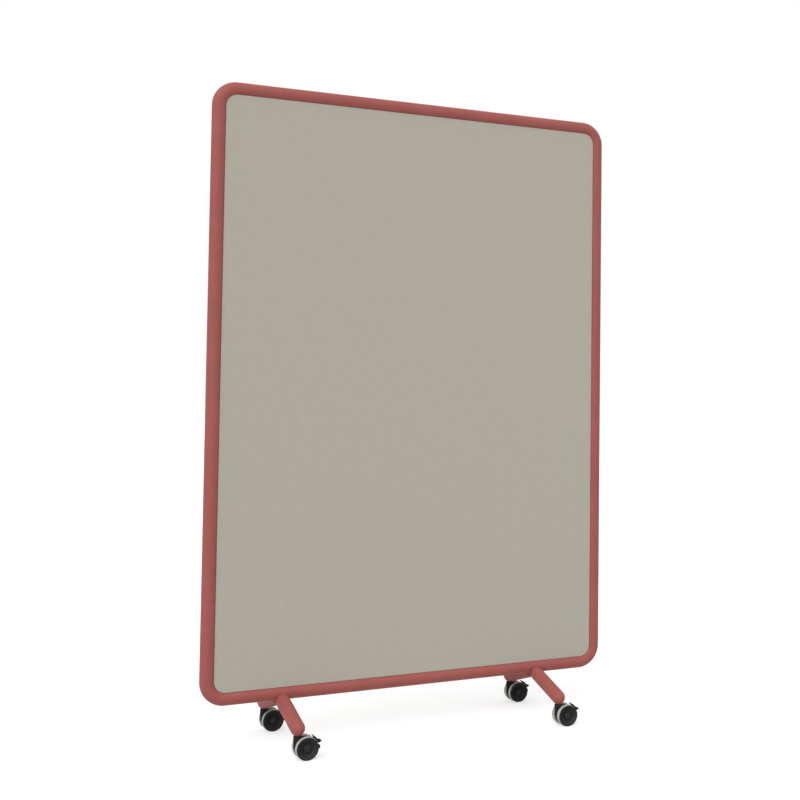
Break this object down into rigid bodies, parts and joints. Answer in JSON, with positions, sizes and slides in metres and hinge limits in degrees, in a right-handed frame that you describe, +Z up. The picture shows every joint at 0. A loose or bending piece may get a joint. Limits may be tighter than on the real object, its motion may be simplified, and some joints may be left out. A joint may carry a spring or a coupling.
{
  "type": "rolling partition",
  "caption": "Free-standing rolling partition: fabric panel in a round-cornered steel tube frame on two splayed feet with braked twin-wheel castors.",
  "frame": {"origin": "middle of the footprint on the floor, under the middle of the panel", "axes": "+X along the panel, -Y out of the front face, +Z up"},
  "size_m": [1.2, 0.362, 1.78],
  "materials": {
    "powder_coated_steel": "terracotta red powder coat, satin",
    "bright_steel": "plain drawn steel",
    "zinc_plated_steel": "zinc plated",
    "black_plated_steel": "zinc plated, black passivated",
    "core_board": "raw fibreboard",
    "facing_board": "raw fibreboard",
    "panel_fabric": "greige woven cloth, matte",
    "black_nylon": "moulded nylon, satin",
    "grey_tread": "moulded soft tread, light grey"
  },
  "bodies": {
    "frame": {"frame_left_half": "powder_coated_steel", "frame_right_half": "powder_coated_steel", "frame_sleeves": "bright_steel", "panel_lugs": "bright_steel", "lug_screws": "zinc_plated_steel", "panel_core": "core_board", "front_board": "facing_board", "rear_board": "facing_board", "front_fabric": "panel_fabric", "rear_fabric": "panel_fabric", "castor_bushes": "powder_coated_steel", "left_front_leg_tube": "powder_coated_steel", "left_front_leg_top_cap": "powder_coated_steel", "left_front_leg_end_cap": "powder_coated_steel", "left_front_castor_stem": "black_plated_steel", "right_front_leg_tube": "powder_coated_steel", "right_front_leg_top_cap": "powder_coated_steel", "right_front_leg_end_cap": "powder_coated_steel", "right_front_castor_stem": "black_plated_steel", "left_rear_leg_tube": "powder_coated_steel", "left_rear_leg_top_cap": "powder_coated_steel", "left_rear_leg_end_cap": "powder_coated_steel", "left_rear_castor_stem": "black_plated_steel", "right_rear_leg_tube": "powder_coated_steel", "right_rear_leg_top_cap": "powder_coated_steel", "right_rear_leg_end_cap": "powder_coated_steel", "right_rear_castor_stem": "black_plated_steel"},
    "left_front_castor": {"left_front_castor_hood": "black_nylon", "left_front_castor_axle": "black_plated_steel", "left_front_brake_pin": "black_plated_steel"},
    "left_front_outer_roller": {"left_front_outer_wheel": "black_nylon", "left_front_outer_tyre": "grey_tread"},
    "left_front_inner_roller": {"left_front_inner_wheel": "black_nylon", "left_front_inner_tyre": "grey_tread"},
    "left_front_brake": {"left_front_brake_lever": "black_nylon"},
    "right_front_castor": {"right_front_castor_hood": "black_nylon", "right_front_castor_axle": "black_plated_steel", "right_front_brake_pin": "black_plated_steel"},
    "right_front_outer_roller": {"right_front_outer_wheel": "black_nylon", "right_front_outer_tyre": "grey_tread"},
    "right_front_inner_roller": {"right_front_inner_wheel": "black_nylon", "right_front_inner_tyre": "grey_tread"},
    "right_front_brake": {"right_front_brake_lever": "black_nylon"},
    "left_rear_castor": {"left_rear_castor_hood": "black_nylon", "left_rear_castor_axle": "black_plated_steel", "left_rear_brake_pin": "black_plated_steel"},
    "left_rear_outer_roller": {"left_rear_outer_wheel": "black_nylon", "left_rear_outer_tyre": "grey_tread"},
    "left_rear_inner_roller": {"left_rear_inner_wheel": "black_nylon", "left_rear_inner_tyre": "grey_tread"},
    "left_rear_brake": {"left_rear_brake_lever": "black_nylon"},
    "right_rear_castor": {"right_rear_castor_hood": "black_nylon", "right_rear_castor_axle": "black_plated_steel", "right_rear_brake_pin": "black_plated_steel"},
    "right_rear_outer_roller": {"right_rear_outer_wheel": "black_nylon", "right_rear_outer_tyre": "grey_tread"},
    "right_rear_inner_roller": {"right_rear_inner_wheel": "black_nylon", "right_rear_inner_tyre": "grey_tread"},
    "right_rear_brake": {"right_rear_brake_lever": "black_nylon"}
  },
  "joints": [
    {"name": "left_front_swivel", "type": "hinge", "parent": "frame", "child": "left_front_castor", "pos_m": [-0.382, -0.158, 0.05], "axis": [0, 0, 1], "continuous": true},
    {"name": "left_front_outer_wheel_spin", "type": "hinge", "parent": "left_front_castor", "child": "left_front_outer_roller", "pos_m": [-0.361, -0.158, 0.03], "axis": [0, 1, 0], "continuous": true},
    {"name": "left_front_inner_wheel_spin", "type": "hinge", "parent": "left_front_castor", "child": "left_front_inner_roller", "pos_m": [-0.361, -0.158, 0.03], "axis": [0, 1, 0], "continuous": true},
    {"name": "left_front_brake_press", "type": "hinge", "parent": "left_front_castor", "child": "left_front_brake", "pos_m": [-0.34465, -0.158, 0.04472], "axis": [0, 1, 0], "range_deg": [0, 12]},
    {"name": "right_front_swivel", "type": "hinge", "parent": "frame", "child": "right_front_castor", "pos_m": [0.382, -0.158, 0.05], "axis": [0, 0, 1], "continuous": true},
    {"name": "right_front_outer_wheel_spin", "type": "hinge", "parent": "right_front_castor", "child": "right_front_outer_roller", "pos_m": [0.403, -0.158, 0.03], "axis": [0, 1, 0], "continuous": true},
    {"name": "right_front_inner_wheel_spin", "type": "hinge", "parent": "right_front_castor", "child": "right_front_inner_roller", "pos_m": [0.403, -0.158, 0.03], "axis": [0, 1, 0], "continuous": true},
    {"name": "right_front_brake_press", "type": "hinge", "parent": "right_front_castor", "child": "right_front_brake", "pos_m": [0.41935, -0.158, 0.04472], "axis": [0, 1, 0], "range_deg": [0, 12]},
    {"name": "left_rear_swivel", "type": "hinge", "parent": "frame", "child": "left_rear_castor", "pos_m": [-0.382, 0.158, 0.05], "axis": [0, 0, 1], "continuous": true},
    {"name": "left_rear_outer_wheel_spin", "type": "hinge", "parent": "left_rear_castor", "child": "left_rear_outer_roller", "pos_m": [-0.361, 0.158, 0.03], "axis": [0, 1, 0], "continuous": true},
    {"name": "left_rear_inner_wheel_spin", "type": "hinge", "parent": "left_rear_castor", "child": "left_rear_inner_roller", "pos_m": [-0.361, 0.158, 0.03], "axis": [0, 1, 0], "continuous": true},
    {"name": "left_rear_brake_press", "type": "hinge", "parent": "left_rear_castor", "child": "left_rear_brake", "pos_m": [-0.34465, 0.158, 0.04472], "axis": [0, 1, 0], "range_deg": [0, 12]},
    {"name": "right_rear_swivel", "type": "hinge", "parent": "frame", "child": "right_rear_castor", "pos_m": [0.382, 0.158, 0.05], "axis": [0, 0, 1], "continuous": true},
    {"name": "right_rear_outer_wheel_spin", "type": "hinge", "parent": "right_rear_castor", "child": "right_rear_outer_roller", "pos_m": [0.403, 0.158, 0.03], "axis": [0, 1, 0], "continuous": true},
    {"name": "right_rear_inner_wheel_spin", "type": "hinge", "parent": "right_rear_castor", "child": "right_rear_inner_roller", "pos_m": [0.403, 0.158, 0.03], "axis": [0, 1, 0], "continuous": true},
    {"name": "right_rear_brake_press", "type": "hinge", "parent": "right_rear_castor", "child": "right_rear_brake", "pos_m": [0.41935, 0.158, 0.04472], "axis": [0, 1, 0], "range_deg": [0, 12]}
  ]
}
